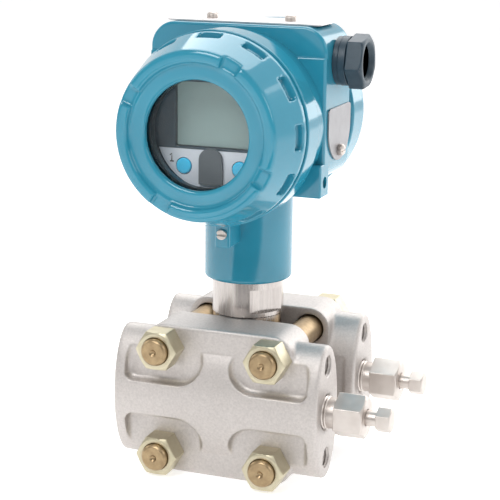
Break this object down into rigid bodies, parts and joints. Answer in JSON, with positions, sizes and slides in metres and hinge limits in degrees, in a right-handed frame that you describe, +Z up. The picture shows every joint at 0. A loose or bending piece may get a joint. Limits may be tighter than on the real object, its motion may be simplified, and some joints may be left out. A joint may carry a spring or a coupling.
{
  "type": "differential pressure transmitter",
  "caption": "Differential pressure transmitter: sensor cell clamped between bolted process flanges, under a turning painted housing with a round display window, buttons and a cable gland.",
  "frame": {"origin": "centre of the left process face's bolt pattern, midway between the two ports", "axes": "+X along the process ports from the open ports to the vent valves, +Y from the display to the terminal side, +Z up along the neck"},
  "size_m": [0.1235, 0.1159, 0.1994],
  "materials": {
    "cast_steel": "satin cast stainless steel",
    "turned_steel": "turned stainless steel",
    "stud_steel": "yellow passivated, satin",
    "nut_zinc": "pale yellow zinc, satin",
    "teal_paint": "gloss enamel",
    "seal_rubber": "matt",
    "window_glass": "clear polished",
    "case_plastic": "fine matt",
    "lcd_panel": "satin",
    "face_plastic": "satin print film",
    "tab_plastic": "matt",
    "button_plastic": "satin",
    "board_green": "satin lacquer",
    "gland_plastic": "fine matt",
    "plate_steel": "brushed"
  },
  "bodies": {
    "pressure_module": {"front_flange": "cast_steel", "rear_flange": "cast_steel", "flange_studs": "stud_steel", "flange_nuts": "nut_zinc", "sensor_cell": "turned_steel", "front_diaphragm": "turned_steel", "rear_diaphragm": "turned_steel", "front_gasket": "seal_rubber", "rear_gasket": "seal_rubber", "neck_seal": "seal_rubber", "front_vent_valve": "turned_steel", "rear_vent_valve": "turned_steel"},
    "front_vent_screw": {"front_vent_screw": "turned_steel"},
    "rear_vent_screw": {"rear_vent_screw": "turned_steel"},
    "head": {"housing": "teal_paint", "neck_lock_screw": "turned_steel", "front_cover_seal": "seal_rubber", "rear_cover_seal": "seal_rubber", "display_case": "case_plastic", "lcd_glass": "lcd_panel", "display_face": "face_plastic", "display_tab": "tab_plastic", "button_switches": "tab_plastic", "display_board": "board_green", "display_spacers": "stud_steel", "main_board": "board_green", "main_spacers": "stud_steel", "terminal_block": "gland_plastic", "terminal_screws": "turned_steel", "gland_body": "gland_plastic", "gland_grommet": "seal_rubber", "conduit_plug": "turned_steel", "top_plate": "plate_steel", "top_plate_screws": "turned_steel", "side_tag": "plate_steel", "side_tag_screw": "turned_steel"},
    "front_cover": {"front_cover": "teal_paint", "window_glass": "window_glass", "window_retainer": "turned_steel"},
    "rear_cover": {"rear_cover": "teal_paint"},
    "gland_nut": {"gland_nut": "gland_plastic"},
    "button_1": {"button_1": "button_plastic"},
    "button_2": {"button_2": "button_plastic"}
  },
  "joints": [
    {"name": "head_swivel", "type": "hinge", "parent": "pressure_module", "child": "head", "pos_m": [0.04735, 0, 0.06], "axis": [0, 0, 1], "range_deg": [-180, 180]},
    {"name": "front_cover_turn", "type": "hinge", "parent": "head", "child": "front_cover", "pos_m": [0.04735, -0.042, 0.1212], "axis": [0, -1, 0], "range_deg": [0, 360]},
    {"name": "rear_cover_turn", "type": "hinge", "parent": "head", "child": "rear_cover", "pos_m": [0.04735, 0.036, 0.1212], "axis": [0, 1, 0], "range_deg": [0, 360]},
    {"name": "gland_nut_turn", "type": "hinge", "parent": "head", "child": "gland_nut", "pos_m": [0.09535, 0, 0.1477], "axis": [1, 0, 0], "range_deg": [0, 360]},
    {"name": "front_vent_turn", "type": "hinge", "parent": "pressure_module", "child": "front_vent_screw", "pos_m": [0.11235, -0.027, 0], "axis": [1, 0, 0], "range_deg": [0, 360]},
    {"name": "rear_vent_turn", "type": "hinge", "parent": "pressure_module", "child": "rear_vent_screw", "pos_m": [0.11235, 0.027, 0], "axis": [1, 0, 0], "range_deg": [0, 360]},
    {"name": "button_1_press", "type": "slide", "parent": "head", "child": "button_1", "axis": [0, 1, 0], "range_m": [0, 0.0008], "stiffness_N_per_m": 1000},
    {"name": "button_2_press", "type": "slide", "parent": "head", "child": "button_2", "axis": [0, 1, 0], "range_m": [0, 0.0008], "stiffness_N_per_m": 1000}
  ]
}
